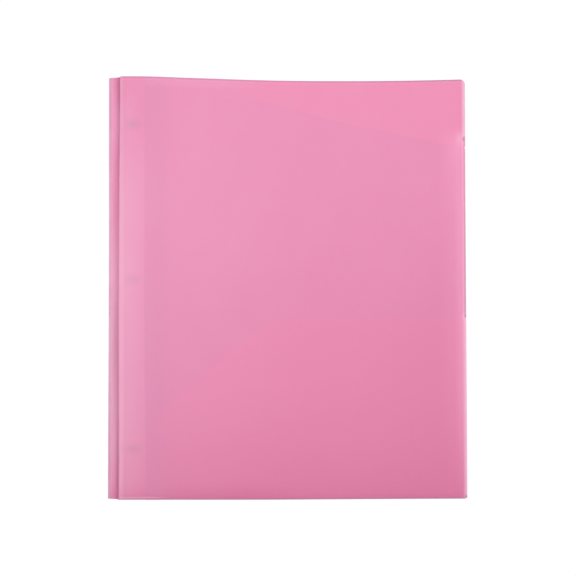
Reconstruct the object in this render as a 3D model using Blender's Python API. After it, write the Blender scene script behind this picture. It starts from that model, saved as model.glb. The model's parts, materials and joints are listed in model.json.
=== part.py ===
"""Plastic pocket folder with bendable tang fasteners, closed and lying flat on its back cover.

Metres, +Z up. X runs from the spine to the free edges, Y from the bottom edge to the top edge.
The origin is the middle of the folder on the surface that it lies on.
On a cover or pocket, u is measured from that cover's crease and v from the bottom edge.
"""

import math

import bmesh
import bpy
from mathutils import Vector

# Covers
COVER_WIDTH = 0.2413
COVER_HEIGHT = 0.2937
COVER_SHEET = 0.0005
CORNER_RADIUS = 0.0035
CORNER_CHAMFER = 0.0012
EDGE_HOLLOW = 0.0022

# Spine, and the two creases where it joins the covers
SPINE_RUN = 0.0081
CREASE_HEIGHT = 0.0068
CREASE_SETBACK = 0.0008
CREASE_SHEET = 0.0003
CREASE_GAP = 0.0002
FRONT_BEND_RADIUS = 0.0005
SPINE_START_SLOPE = math.radians(9)
SPINE_END_SLOPE = math.radians(86)
SPINE_START_PULL = 0.0055
SPINE_END_PULL = 0.0030

# How the closed front cover falls from the crease to the layers under it
SAG_START = 0.012
SAG_END = 0.150
EDGE_LIFT = 0.0012
PAGE_GAP = 0.0005

# Pockets: a tall one with a swept top edge lies on each cover, and a low one lies on that
POCKET_SHEET = 0.0004
LAYER_GAP = 0.0003
TALL_TOP_INSET = 0.0040
TALL_SWEEP_START = 0.058
TALL_KNEE_INSET = 0.1344
TALL_KNEE_DROP = 0.0333
TALL_EDGE_DROP = 0.0472
LOW_EDGE_HEIGHT = 0.1249
LOW_SLANT_START = 0.1043
LOW_SLANT_HEIGHT = 0.0524
LOW_KNEE_RADIUS = 0.014
LOW_CORNER_RADIUS = 0.002

# Tang fasteners, three in a row at the spacing of punched holes
FASTENER_INSET = 0.0174
FASTENER_SPACING = 0.10795
FASTENER_NAMES = ("top", "middle", "bottom")
STEEL_SHEET = 0.00035
TANG_WIDTH = 0.0055
TANG_LENGTH = 0.030
TANG_GAP = 0.0002
TANG_ROOT = 0.0001
POST_CLEARANCE = 0.0003
KNUCKLE_REACH = 0.0028
KNUCKLE_CLEARANCE = 0.0008
BASE_BEND_RADIUS = 0.0004

# Strip welded to the back cover, with a raised channel over the fastener bases
STRIP_WIDTH = 0.0150
STRIP_SHEET = 0.0005
STRIP_END_MARGIN = 0.004
STRIP_CLEARANCE = 0.0012
CHANNEL_CLEARANCE = 0.0006
CHANNEL_WALL_RUN = 0.0005
SLOT_CLEARANCE = 0.0004

# Colours of the photographed folder, in linear light
PINK = (0.83, 0.28, 0.47)
DEEP_PINK = (0.80, 0.25, 0.43)
TIN_GREY = (0.62, 0.62, 0.64)

# Mesh fineness
ARC_STEPS = 6
SWEEP_STEPS = 14
SPINE_STEPS = 14
TANG_STEPS = 14
U_STEP = 0.020
V_STEP = 0.049
SAME_POINT = 1e-7

# Places worked out from the sizes above
BACK_AXIS_Z = COVER_SHEET + LAYER_GAP / 2
BACK_BEND_RADIUS = BACK_AXIS_Z - COVER_SHEET / 2
SPINE_START_Z = BACK_AXIS_Z + BACK_BEND_RADIUS
BACK_CREASE_X = -(SPINE_RUN + COVER_WIDTH - BACK_BEND_RADIUS - CREASE_SHEET / 2) / 2
FRONT_CREASE_X = BACK_CREASE_X + SPINE_RUN
TALL_DROP = COVER_SHEET / 2 + LAYER_GAP + POCKET_SHEET / 2
LOW_DROP = TALL_DROP + POCKET_SHEET + LAYER_GAP
HEM_DEPTH = LOW_DROP - COVER_SHEET / 2 - LAYER_GAP
HEM_INSET = POCKET_SHEET + LAYER_GAP
STACK_AT_TOP = COVER_SHEET / 2 + 2 * TALL_DROP + POCKET_SHEET + PAGE_GAP
STACK_AT_BOTTOM = COVER_SHEET / 2 + 2 * LOW_DROP + POCKET_SHEET + PAGE_GAP
TOP_SAG = CREASE_HEIGHT - STACK_AT_TOP
BOTTOM_SAG = CREASE_HEIGHT - STACK_AT_BOTTOM
BACK_POCKET_INSET = FASTENER_INSET + STRIP_WIDTH / 2 + STRIP_CLEARANCE
FRONT_POCKET_INSET = BACK_POCKET_INSET - SPINE_RUN
FASTENER_X = BACK_CREASE_X + FASTENER_INSET
BASE_Z = COVER_SHEET + LAYER_GAP + STEEL_SHEET / 2
STRIP_Z = COVER_SHEET + LAYER_GAP + STRIP_SHEET / 2
CHANNEL_Z = BASE_Z + STEEL_SHEET / 2 + LAYER_GAP + STRIP_SHEET / 2
POST_TOP_Z = CHANNEL_Z + STRIP_SHEET / 2 + LAYER_GAP
TANG_AXIS_Z = POST_TOP_Z + TANG_GAP
KNUCKLE_TOP_Z = CREASE_HEIGHT - COVER_SHEET / 2 - KNUCKLE_CLEARANCE
KNUCKLE_HEIGHT = KNUCKLE_TOP_Z - STEEL_SHEET / 2 - TANG_AXIS_Z
POST_OFFSET = KNUCKLE_HEIGHT + STEEL_SHEET / 2 + POST_CLEARANCE
CHANNEL_HALF_WIDTH = TANG_WIDTH / 2 + CHANNEL_CLEARANCE


def clear_scene():
    """Removes whatever the scene starts with."""
    for old in list(bpy.data.objects):
        bpy.data.objects.remove(old)


def make_material(name, colour, roughness, metallic=0.0):
    """A Principled material of one colour."""
    material = bpy.data.materials.new(name)
    material.use_nodes = True
    shader = material.node_tree.nodes["Principled BSDF"]
    shader.inputs["Base Color"].default_value = (*colour, 1.0)
    shader.inputs["Roughness"].default_value = roughness
    shader.inputs["Metallic"].default_value = metallic
    return material


def make_pivot(name, place):
    """An empty on a joint's axis, which carries the pieces that turn there."""
    pivot = bpy.data.objects.new(name, None)
    pivot.location = place
    bpy.context.scene.collection.objects.link(pivot)
    return pivot


def add_object(name, bm, material, pivot=None):
    """Turns a bmesh in world coordinates into a named object, carried by its pivot if it has one."""
    if pivot:
        bmesh.ops.translate(bm, vec=-pivot.location, verts=bm.verts)
    mesh = bpy.data.meshes.new(name)
    bm.to_mesh(mesh)
    bm.free()
    mesh.materials.append(material)
    piece = bpy.data.objects.new(name, mesh)
    piece.parent = pivot
    bpy.context.scene.collection.objects.link(piece)
    return piece


def add_thickness(piece, thickness):
    """Gives a surface its sheet thickness, half to each side."""
    solidify = piece.modifiers.new("sheet thickness", "SOLIDIFY")
    solidify.thickness = thickness
    solidify.offset = 0.0
    solidify.use_even_offset = True


def rounded_path(corners, closed=True):
    """Points along a path of (x, y, radius) corners, with an arc at each corner that has a radius."""
    points = []
    count = len(corners)
    for index, (x, y, radius) in enumerate(corners):
        at_end = not closed and index in (0, count - 1)
        if radius <= 0 or at_end:
            points.append((x, y))
            continue
        here = Vector((x, y))
        to_last = (Vector(corners[index - 1][:2]) - here).normalized()
        to_next = (Vector(corners[(index + 1) % count][:2]) - here).normalized()
        half_angle = to_last.angle(to_next) / 2
        centre = here + (to_last + to_next).normalized() * radius / math.sin(half_angle)
        start = here + to_last * radius / math.tan(half_angle) - centre
        turn = start.angle_signed(here + to_next * radius / math.tan(half_angle) - centre)
        for step in range(ARC_STEPS + 1):
            angle = -turn * step / ARC_STEPS
            arm = Vector((
                start.x * math.cos(angle) - start.y * math.sin(angle),
                start.x * math.sin(angle) + start.y * math.cos(angle),
            ))
            if not points or (centre + arm - Vector(points[-1])).length > SAME_POINT:
                points.append(tuple(centre + arm))
    return points


def bezier(points, t):
    """A point on the Bezier curve with these control points."""
    while len(points) > 1:
        points = [a.lerp(b, t) for a, b in zip(points, points[1:])]
    return points[0]


def cosine_ramp(u, start, end):
    """0 before start, 1 after end, and half a cosine wave between them."""
    t = min(max((u - start) / (end - start), 0.0), 1.0)
    return (1 - math.cos(math.pi * t)) / 2


def sag(u):
    """0 where the cover is level beside the crease, 1 at its lowest, and less towards the free edge."""
    past = max(u - SAG_END, 0.0) / (COVER_WIDTH - SAG_END)
    return cosine_ramp(u, SAG_START, SAG_END) - EDGE_LIFT / TOP_SAG * past**2


def top_edge(u):
    """Height v of a cover's slightly hollow top edge."""
    return COVER_HEIGHT - EDGE_HOLLOW * sag(u)


def front_height(u, v):
    """Height of the closed front cover's middle surface above the table."""
    share = cosine_ramp(v, LOW_EDGE_HEIGHT, COVER_HEIGHT)
    at_top = TOP_SAG * sag(u)
    at_bottom = BOTTOM_SAG * cosine_ramp(u, SAG_START, COVER_WIDTH)
    return CREASE_HEIGHT - at_bottom - (at_top - at_bottom) * share


def on_front(drop):
    """Places (u, v) on the front cover's surface, a given drop under its middle."""
    def place(u, v):
        return Vector((FRONT_CREASE_X + u, v - COVER_HEIGHT / 2, front_height(u, v) - drop))
    return place


def on_back(height):
    """Places (u, v) on the flat back cover, at a given height above the table."""
    def place(u, v):
        return Vector((BACK_CREASE_X + u, v - COVER_HEIGHT / 2, height))
    return place


def sheet_surface(outline, place, bowed):
    """One face with the given outline, cut into a grid if it has to bend, and set in place."""
    bm = bmesh.new()
    bm.faces.new([bm.verts.new((u, v, 0.0)) for u, v in outline])
    if bowed:
        for axis, step in ((Vector((1, 0, 0)), U_STEP), (Vector((0, 1, 0)), V_STEP)):
            reach = max(vertex.co.dot(axis) for vertex in bm.verts)
            for index in range(1, math.ceil(reach / step)):
                everything = bm.verts[:] + bm.edges[:] + bm.faces[:]
                bmesh.ops.bisect_plane(bm, geom=everything, plane_co=axis * index * step, plane_no=axis)
    for vertex in bm.verts:
        vertex.co = place(vertex.co.x, vertex.co.y)
    bm.normal_update()
    return bm


def cover_outline():
    """A cover, with a rounded top corner and a clipped bottom corner at its free edge."""
    corner_u = COVER_WIDTH - CORNER_RADIUS
    corner_v = top_edge(COVER_WIDTH) - CORNER_RADIUS
    outline = [
        (CREASE_SETBACK, 0.0),
        (COVER_WIDTH - CORNER_CHAMFER, 0.0),
        (COVER_WIDTH, CORNER_CHAMFER),
    ]
    for step in range(ARC_STEPS + 1):
        angle = math.pi / 2 * step / ARC_STEPS
        outline.append((corner_u + CORNER_RADIUS * math.cos(angle), corner_v + CORNER_RADIUS * math.sin(angle)))
    for step in range(1, SWEEP_STEPS + 1):
        u = corner_u + (CREASE_SETBACK - corner_u) * step / SWEEP_STEPS
        outline.append((u, top_edge(u)))
    return outline


def tall_outline(inset):
    """The tall pocket, which steps in at the low pocket's hem and has a swept top edge."""
    top = top_edge(TALL_SWEEP_START) - TALL_TOP_INSET
    sweep = [
        Vector((COVER_WIDTH, COVER_HEIGHT - TALL_EDGE_DROP)),
        Vector((TALL_KNEE_INSET, COVER_HEIGHT - TALL_KNEE_DROP)),
        Vector((TALL_SWEEP_START, top)),
    ]
    step_v = LOW_EDGE_HEIGHT + LAYER_GAP
    outline = [
        (inset, HEM_INSET),
        (COVER_WIDTH - HEM_INSET, HEM_INSET),
        (COVER_WIDTH - HEM_INSET, step_v),
        (COVER_WIDTH, step_v),
    ]
    outline += [tuple(bezier(sweep, step / SWEEP_STEPS)) for step in range(SWEEP_STEPS + 1)]
    outline.append((inset, top))
    return outline


def low_outline(inset):
    """The low pocket, level across its outer part and slanting down towards the spine."""
    outer = COVER_WIDTH - POCKET_SHEET / 2
    bottom = POCKET_SHEET / 2
    return rounded_path([
        (inset, bottom, 0),
        (outer, bottom, 0),
        (outer, LOW_EDGE_HEIGHT, 0),
        (LOW_SLANT_START, LOW_EDGE_HEIGHT, LOW_KNEE_RADIUS),
        (inset, LOW_SLANT_HEIGHT, LOW_CORNER_RADIUS),
    ])


def turn_hem(bm, place, depth):
    """Turns the outer and bottom edges of a low pocket towards its cover, as a hem."""
    outer = place(COVER_WIDTH - POCKET_SHEET / 2, 0).x
    bottom = place(0, POCKET_SHEET / 2).y
    edges = [
        edge for edge in bm.edges if edge.is_boundary and (
            all(abs(vertex.co.x - outer) < LAYER_GAP / 10 for vertex in edge.verts)
            or all(abs(vertex.co.y - bottom) < LAYER_GAP / 10 for vertex in edge.verts))
    ]
    turned = bmesh.ops.extrude_edge_only(bm, edges=edges)["geom"]
    fresh = [item for item in turned if isinstance(item, bmesh.types.BMVert)]
    bmesh.ops.translate(bm, vec=(0, 0, depth), verts=fresh)
    bmesh.ops.recalc_face_normals(bm, faces=bm.faces)


def build_panel(side, place_at, levels, inset, hem, bowed, materials, pivot):
    """One cover with its two pockets. Levels are those of the cover, the tall and the low pocket."""
    surface = sheet_surface(cover_outline(), place_at(levels[0]), bowed)
    add_thickness(add_object(f"{side}_cover", surface, materials["cover"], pivot), COVER_SHEET)
    surface = sheet_surface(tall_outline(inset), place_at(levels[1]), bowed)
    add_thickness(add_object(f"{side}_tall_pocket", surface, materials["pocket"], pivot), POCKET_SHEET)
    surface = sheet_surface(low_outline(inset), place_at(levels[2]), bowed)
    turn_hem(surface, place_at(levels[2]), hem)
    add_thickness(add_object(f"{side}_low_pocket", surface, materials["pocket"], pivot), POCKET_SHEET)


def extruded_profile(profile, direction, low, high):
    """A surface swept along an axis from low to high. The profile's points lack that axis."""
    bm = bmesh.new()
    rows = []
    for along in (low, high):
        rows.append([bm.verts.new((a, along, b) if direction == "Y" else (along, a, b)) for a, b in profile])
    for index in range(len(profile) - 1):
        bm.faces.new((rows[0][index], rows[0][index + 1], rows[1][index + 1], rows[1][index]))
    bm.normal_update()
    return bm


def build_spine(material, pivot):
    """The spine strip: it starts almost flat on the back cover and turns up to the front crease."""
    start = Vector((BACK_CREASE_X + CREASE_SETBACK, SPINE_START_Z))
    end = Vector((FRONT_CREASE_X, CREASE_HEIGHT - CREASE_SETBACK))
    leave = Vector((math.cos(SPINE_START_SLOPE), math.sin(SPINE_START_SLOPE))) * SPINE_START_PULL
    arrive = Vector((math.cos(SPINE_END_SLOPE), math.sin(SPINE_END_SLOPE))) * SPINE_END_PULL
    controls = [start, start + leave, end - arrive, end]
    profile = [tuple(bezier(controls, step / SPINE_STEPS)) for step in range(SPINE_STEPS + 1)]
    surface = extruded_profile(profile, "Y", -COVER_HEIGHT / 2, COVER_HEIGHT / 2)
    spine = add_object("spine", surface, material, pivot)
    add_thickness(spine, COVER_SHEET)
    spine.data.shade_smooth()


def build_creases(material):
    """The thinned webs where the sheet is scored: a tight turn at the back and a bend at the front."""
    run = CREASE_SETBACK - CREASE_GAP
    back_left = BACK_CREASE_X - BACK_BEND_RADIUS
    back_turn = [
        (BACK_CREASE_X + run, COVER_SHEET / 2, 0),
        (back_left, COVER_SHEET / 2, BACK_BEND_RADIUS),
        (back_left, SPINE_START_Z, BACK_BEND_RADIUS),
        (BACK_CREASE_X + run, SPINE_START_Z, 0),
    ]
    front_bend = [
        (FRONT_CREASE_X, CREASE_HEIGHT - run, 0),
        (FRONT_CREASE_X, CREASE_HEIGHT, FRONT_BEND_RADIUS),
        (FRONT_CREASE_X + run, CREASE_HEIGHT, 0),
    ]
    for name, corners in (("back_crease", back_turn), ("front_crease", front_bend)):
        profile = rounded_path(corners, closed=False)
        surface = extruded_profile(profile, "Y", -COVER_HEIGHT / 2, COVER_HEIGHT / 2)
        add_thickness(add_object(name, surface, material), CREASE_SHEET)


def slot_cutter(fastener_ys):
    """Boxes where the posts of the fastener bases pass through the strip."""
    bm = bmesh.new()
    size = Vector((TANG_WIDTH + 2 * SLOT_CLEARANCE, STEEL_SHEET + 2 * SLOT_CLEARANCE, 4 * STRIP_SHEET))
    for y in fastener_ys:
        for side in (1, -1):
            box = bmesh.ops.create_cube(bm, size=1.0)["verts"]
            bmesh.ops.scale(bm, vec=size, verts=box)
            bmesh.ops.translate(bm, vec=(FASTENER_X, y + side * POST_OFFSET, CHANNEL_Z), verts=box)
    mesh = bpy.data.meshes.new("strip_slots")
    bm.to_mesh(mesh)
    bm.free()
    cutter = bpy.data.objects.new("strip_slots", mesh)
    cutter.hide_render = True
    cutter.display_type = "WIRE"
    bpy.context.scene.collection.objects.link(cutter)
    return cutter


def build_strip(material, fastener_ys):
    """The welded strip: flat flanges on the back cover and a raised channel with six slots."""
    half_width = STRIP_WIDTH / 2
    wall_foot = CHANNEL_HALF_WIDTH + STRIP_SHEET + CHANNEL_WALL_RUN
    wall_head = CHANNEL_HALF_WIDTH + STRIP_SHEET
    profile = [
        (-half_width, STRIP_Z),
        (-wall_foot, STRIP_Z),
        (-wall_head, CHANNEL_Z),
        (wall_head, CHANNEL_Z),
        (wall_foot, STRIP_Z),
        (half_width, STRIP_Z),
    ]
    profile = [(FASTENER_X + x, z) for x, z in profile]
    reach = COVER_HEIGHT / 2 - STRIP_END_MARGIN
    strip = add_object("fastener_strip", extruded_profile(profile, "Y", -reach, reach), material)
    add_thickness(strip, STRIP_SHEET)
    slots = strip.modifiers.new("slots", "BOOLEAN")
    slots.operation = "DIFFERENCE"
    slots.object = slot_cutter(fastener_ys)


def build_base(name, y, material):
    """A fastener's U-shaped base: a plate under the strip with a post up through each slot."""
    corners = [
        (y - POST_OFFSET, POST_TOP_Z, 0),
        (y - POST_OFFSET, BASE_Z, BASE_BEND_RADIUS),
        (y + POST_OFFSET, BASE_Z, BASE_BEND_RADIUS),
        (y + POST_OFFSET, POST_TOP_Z, 0),
    ]
    profile = rounded_path(corners, closed=False)
    surface = extruded_profile(profile, "X", FASTENER_X - TANG_WIDTH / 2, FASTENER_X + TANG_WIDTH / 2)
    add_thickness(add_object(name, surface, material), STEEL_SHEET)


def knuckle(s):
    """Height of a folded tang over its bend line, at a distance s from it."""
    reach = s / KNUCKLE_REACH
    return KNUCKLE_HEIGHT * reach * math.exp(1 - reach)


def build_tang(name, y, side, material):
    """A folded tang: it arches up from its bend line and lies along the strip, with a round tip."""
    half_width = TANG_WIDTH / 2
    outline = rounded_path([
        (-half_width, TANG_ROOT, 0),
        (half_width, TANG_ROOT, 0),
        (half_width, TANG_LENGTH, half_width),
        (-half_width, TANG_LENGTH, half_width),
    ])
    bm = bmesh.new()
    bm.faces.new([bm.verts.new((a, s, 0.0)) for a, s in outline])
    for step in range(1, TANG_STEPS):
        cut = Vector((0, (TANG_LENGTH - half_width) * (step / TANG_STEPS) ** 2, 0))
        everything = bm.verts[:] + bm.edges[:] + bm.faces[:]
        bmesh.ops.bisect_plane(bm, geom=everything, plane_co=cut, plane_no=(0, 1, 0))
    bend_line = Vector((FASTENER_X, y + side * POST_OFFSET, TANG_AXIS_Z))
    for vertex in bm.verts:
        vertex.co = bend_line + Vector((vertex.co.x, side * vertex.co.y, knuckle(vertex.co.y)))
    bmesh.ops.recalc_face_normals(bm, faces=bm.faces)
    tang = add_object(name, bm, material, make_pivot(f"{name}_bend", bend_line))
    add_thickness(tang, STEEL_SHEET)
    tang.data.shade_smooth()


def main():
    clear_scene()
    materials = {
        "cover": make_material("cover plastic", PINK, 0.45),
        "pocket": make_material("pocket plastic", DEEP_PINK, 0.45),
    }
    steel = make_material("tinned steel", TIN_GREY, 0.30, metallic=1.0)

    spine_pivot = make_pivot("spine_hinge", (BACK_CREASE_X, 0, BACK_AXIS_Z))
    front_pivot = make_pivot("cover_hinge", (FRONT_CREASE_X, 0, CREASE_HEIGHT))
    back_levels = (COVER_SHEET / 2, COVER_SHEET / 2 + TALL_DROP, COVER_SHEET / 2 + LOW_DROP)
    build_panel("back", on_back, back_levels, BACK_POCKET_INSET, -HEM_DEPTH, False, materials, None)
    build_creases(materials["cover"])
    build_spine(materials["cover"], spine_pivot)
    front_levels = (0.0, TALL_DROP, LOW_DROP)
    build_panel("front", on_front, front_levels, FRONT_POCKET_INSET, HEM_DEPTH, True, materials, front_pivot)

    fastener_ys = [FASTENER_SPACING * place for place in (1, 0, -1)]
    build_strip(materials["pocket"], fastener_ys)
    for name, y in zip(FASTENER_NAMES, fastener_ys):
        build_base(f"{name}_fastener_base", y, steel)
        build_tang(f"{name}_fastener_upper_tang", y, 1, steel)
        build_tang(f"{name}_fastener_lower_tang", y, -1, steel)


main()
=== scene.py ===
"""Looks of a plastic pocket folder: its sheets, creases and tang fasteners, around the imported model.

Metres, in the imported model's frame: X runs from the spine to the free edges, Y from the bottom edge
to the top edge, and Z up. On a cover or a pocket, u is measured from that cover's crease and v from
the bottom edge.
"""

import json
import logging
import math
from dataclasses import dataclass, field
from enum import Enum
from functools import cached_property
from typing import Callable, Optional, Sequence, Union

import bpy
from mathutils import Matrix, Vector


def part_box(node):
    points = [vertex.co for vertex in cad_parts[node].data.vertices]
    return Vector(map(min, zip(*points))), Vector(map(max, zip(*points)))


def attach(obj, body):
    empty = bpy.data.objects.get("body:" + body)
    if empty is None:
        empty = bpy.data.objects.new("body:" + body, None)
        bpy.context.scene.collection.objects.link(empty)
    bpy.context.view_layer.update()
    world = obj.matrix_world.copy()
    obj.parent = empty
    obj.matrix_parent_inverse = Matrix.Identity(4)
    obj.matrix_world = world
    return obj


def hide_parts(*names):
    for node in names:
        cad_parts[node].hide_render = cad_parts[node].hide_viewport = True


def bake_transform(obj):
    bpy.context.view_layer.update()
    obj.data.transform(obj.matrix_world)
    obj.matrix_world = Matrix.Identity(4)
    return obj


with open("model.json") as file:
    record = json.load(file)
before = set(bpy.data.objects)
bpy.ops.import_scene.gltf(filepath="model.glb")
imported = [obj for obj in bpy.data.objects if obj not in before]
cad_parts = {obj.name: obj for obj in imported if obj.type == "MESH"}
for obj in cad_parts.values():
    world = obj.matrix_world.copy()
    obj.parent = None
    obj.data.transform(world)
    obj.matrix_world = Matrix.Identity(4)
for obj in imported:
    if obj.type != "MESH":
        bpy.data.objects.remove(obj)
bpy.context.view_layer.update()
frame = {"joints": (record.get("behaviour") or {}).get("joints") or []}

LOG = logging.getLogger("pocket_folder")
FASTENERS = ("top", "middle", "bottom")

Colour = tuple[float, float, float]
Point = tuple[float, float, float]
Value = Union["Signal", float]
Operator = Callable[["Signal", Value], "Signal"]
Measure = Callable[["ShaderGraph"], "Measures"]
Place = Callable[[float, float, float], Vector]
Profile = Callable[[float], Vector]
Test = Callable[[Vector], bool]


class Named(Enum):
    """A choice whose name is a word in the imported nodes' names."""

    @property
    def word(self) -> str:
        """The choice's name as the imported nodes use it."""
        return self.name.lower()


class Side(Named):
    """Which cover a panel belongs to, and which way its pockets lie from the cover."""

    FRONT = -1
    BACK = 1


class Tang(Named):
    """A fastener's two tangs, and which way each lies along Y."""

    UPPER = 1
    LOWER = -1


class Body(Enum):
    """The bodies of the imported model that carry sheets."""

    BACK = "back_half"
    SPINE = "spine"
    FRONT = "front_half"


class Slot(Enum):
    """The record's material slots."""

    COVER = "cover_sheet"
    POCKET = "pocket_sheet"
    STRIP = "strip_sheet"
    STEEL = "tinned_steel"


class Element(Enum):
    """What is selected in edit mode."""

    VERTEX = "VERT"
    EDGE = "EDGE"


class Tint(Enum):
    """The sheet's tints, from what lies behind it, from how its edges and folds are worked, and for painted
    light and shade: glow, shade at the foot, on the edges, in nicks and under the front crease, and the
    fasteners' shadows.
    """

    PALE = (0.90, 0.42, 0.60)
    WHITE = (0.93, 0.55, 0.70)
    OPEN = (0.738, 0.208, 0.384)
    LOW = (0.737, 0.204, 0.382)
    BAND = (0.600, 0.195, 0.365)
    # Painted shade towards the bottom edge
    FOOT = (0.620, 0.145, 0.290)
    # Painted shadow of a fastener seen through the cover
    PRESSED = (0.470, 0.215, 0.330)
    # Painted glow along the edges
    GLOW = (0.980, 0.420, 0.620)
    COOL = (0.800, 0.400, 0.640)
    # A cut edge's thin dark line, partly painted shade
    CUT = (0.460, 0.205, 0.320)
    # A rim's dark line, partly painted shade on the pocket's edge beside the cover
    RIM = (0.600, 0.330, 0.450)
    # Painted shade in small nicks
    NICK = (0.360, 0.160, 0.250)
    SHADED = (0.47, 0.105, 0.205)
    FOLDED = (0.56, 0.33, 0.43)
    WORN = (0.74, 0.55, 0.64)


class Share(Enum):
    """Shares between 0 and 1 that hold a sheet's marks back or swell them."""

    POCKETS = "where the pockets' sheets lie behind a cover"
    GUTTER = "beside the crease, and less where the pockets lie"
    MIDDLE = "at mid height, where hands work the sheet most"
    ENDS = "away from mid height"
    RUN = "where only the tall pocket lies along the free edge"
    REST = "elsewhere along the free edge"
    ACROSS = "growing from the crease to the free edge"
    HEM = "where the low pocket's hem lies"
    WEAR = "unevenly along a fold"


# Shader graphs


def operator_pair(operation: str) -> tuple[Operator, Operator]:
    """An operator of signals and its reflected form.

    Args:
        operation: The operation of the Math node that they add.

    Returns:
        The two methods.
    """
    def method(signal: "Signal", other: Value) -> "Signal":
        """The operation on a signal and another value."""
        return signal.math(operation, signal, other)

    def reflected(signal: "Signal", other: Value) -> "Signal":
        """The operation on another value and a signal."""
        return signal.math(operation, other, signal)

    return method, reflected


class Signal:
    """A shader socket that takes part in Python expressions."""

    __add__, __radd__ = operator_pair("ADD")
    __sub__, __rsub__ = operator_pair("SUBTRACT")
    __mul__, __rmul__ = operator_pair("MULTIPLY")
    __truediv__, __rtruediv__ = operator_pair("DIVIDE")
    __pow__, __rpow__ = operator_pair("POWER")

    def __init__(self, graph: "ShaderGraph", socket: bpy.types.NodeSocket) -> None:
        """Keeps the socket and the graph that it belongs to."""
        self.graph = graph
        self.socket = socket

    def math(self, operation: str, *values: Value) -> "Signal":
        """The result of one more Math node with this operation and these values."""
        return self.graph.node("ShaderNodeMath", {"operation": operation}, dict(enumerate(values)))

    def __abs__(self) -> "Signal":
        """This value without its sign."""
        return self.math("ABSOLUTE", self)

    def ramp(self, start: float, end: float) -> "Signal":
        """Rises smoothly from 0 at start to 1 at end, where start may be the larger.

        Args:
            start: The value at which the ramp is 0.
            end: The value at which the ramp is 1.

        Returns:
            The ramp, between 0 and 1.
        """
        settings = {"interpolation_type": "SMOOTHSTEP"}
        inputs = {"Value": self, "From Min": min(start, end), "From Max": max(start, end)}
        rising = self.graph.node("ShaderNodeMapRange", settings, inputs)
        return rising if start < end else 1 - rising


def at_least(value: Value, other: Value) -> Value:
    """The larger of two values, of which the first says whether they are numbers or signals."""
    return value.math("MAXIMUM", value, other) if isinstance(value, Signal) else max(value, other)


def smooth_least(value: Value, other: float, reach: float) -> Value:
    """The smaller of two values, rounded where they cross.

    Args:
        value: A number or a signal.
        other: The other value.
        reach: How near to each other the rounding starts.

    Returns:
        The smaller value, of the first one's kind.
    """
    if isinstance(value, Signal):
        return value.math("SMOOTH_MIN", value, other, reach)
    near = max(reach - abs(value - other), 0.0) / reach
    return min(value, other) - near**3 * reach / 6


def wave(value: Value, start: float, end: float) -> Value:
    """A smooth rise: half a cosine wave for a number, and the ramp that is close to it for a signal.

    Args:
        value: A number or a signal.
        start: The value up to which the rise is 0.
        end: The value from which it is 1.

    Returns:
        The rise, of the value's kind.
    """
    if isinstance(value, Signal):
        return value.ramp(start, end)
    share = min(max((value - start) / (end - start), 0.0), 1.0)
    return (1 - math.cos(math.pi * share)) / 2


class ShaderGraph:
    """The node tree of a material or of the world."""

    MIX_INPUTS = (0, 6, 7)
    MIX_RESULT = 2
    NOISE_ROUGHNESS = 0.55

    def __init__(self, owner: Union[bpy.types.Material, bpy.types.World]) -> None:
        """Empties the owner's tree.

        Args:
            owner: The material or the world.
        """
        self.owner = owner
        owner.use_nodes = True
        self.tree = owner.node_tree
        self.tree.nodes.clear()

    @classmethod
    def material(cls, name: str) -> "ShaderGraph":
        """Starts a material."""
        return cls(bpy.data.materials.new(name))

    def node(
        self,
        kind: str,
        settings: Optional[dict] = None,
        inputs: Optional[dict] = None,
        output: Union[int, str, None] = 0,
    ) -> Optional[Signal]:
        """Adds a node of any type.

        Args:
            kind: The node's type.
            settings: The node's own settings, which are set first.
            inputs: Values or links of its sockets, by name or place.
            output: The socket to return, by name or place, or nothing for a node that ends the tree.

        Returns:
            The chosen output.
        """
        node = self.tree.nodes.new(kind)
        for name, value in (settings or {}).items():
            setattr(node, name, value)
        for key, value in (inputs or {}).items():
            if isinstance(value, Signal):
                self.tree.links.new(value.socket, node.inputs[key])
            else:
                node.inputs[key].default_value = value
        return None if output is None else Signal(self, node.outputs[output])

    @cached_property
    def place(self) -> Signal:
        """The point being shaded, in object coordinates."""
        return self.node("ShaderNodeTexCoord", output="Object")

    def axes(self, vector: Signal) -> tuple[Signal, Signal, Signal]:
        """The three parts of a vector."""
        node = self.node("ShaderNodeSeparateXYZ", inputs={0: vector}).socket.node
        return tuple(Signal(self, socket) for socket in node.outputs)

    def noise(self, grain: float, detail: float = 2.0, stretch: Point = (1.0, 1.0, 1.0)) -> Signal:
        """Smooth noise between 0 and 1.

        Args:
            grain: The size of its lumps.
            detail: How many finer layers it has.
            stretch: How many times it repeats along each axis, for drawn-out grain.

        Returns:
            The noise.
        """
        turned = self.node("ShaderNodeMapping", inputs={"Vector": self.place, "Scale": stretch})
        inputs = {"Vector": turned, "Scale": 1 / grain, "Detail": detail, "Roughness": self.NOISE_ROUGHNESS}
        return self.node("ShaderNodeTexNoise", {}, inputs, "Fac")

    def mix(self, factor: Value, first: Union[Signal, Colour], second: Union[Signal, Colour]) -> Signal:
        """A blend of two colours.

        Args:
            factor: 0 for the first colour and 1 for the second.
            first: One colour.
            second: The other colour.

        Returns:
            The blended colour.
        """
        inputs = {}
        for key, value in zip(self.MIX_INPUTS, (factor, first, second)):
            inputs[key] = (*value, 1.0) if isinstance(value, tuple) else value
        return self.node("ShaderNodeMix", {"data_type": "RGBA"}, inputs, self.MIX_RESULT)

    def bump(self, height: Signal, depth: float) -> Signal:
        """A normal that follows a height between 0 and 1, over a depth in metres."""
        return self.node("ShaderNodeBump", {}, {"Strength": 1.0, "Distance": depth, "Height": height})

    def surface(self, shader: Signal) -> None:
        """Links the finished shader to the tree's output."""
        word = "World" if isinstance(self.owner, bpy.types.World) else "Material"
        self.node(f"ShaderNodeOutput{word}", inputs={"Surface": shader}, output=None)

    def principled(self, inputs: dict) -> bpy.types.Material:
        """Ends the material in a Principled BSDF with these values and links."""
        self.surface(self.node("ShaderNodeBsdfPrincipled", {}, inputs))
        return self.owner


# Marks on a sheet


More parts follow.
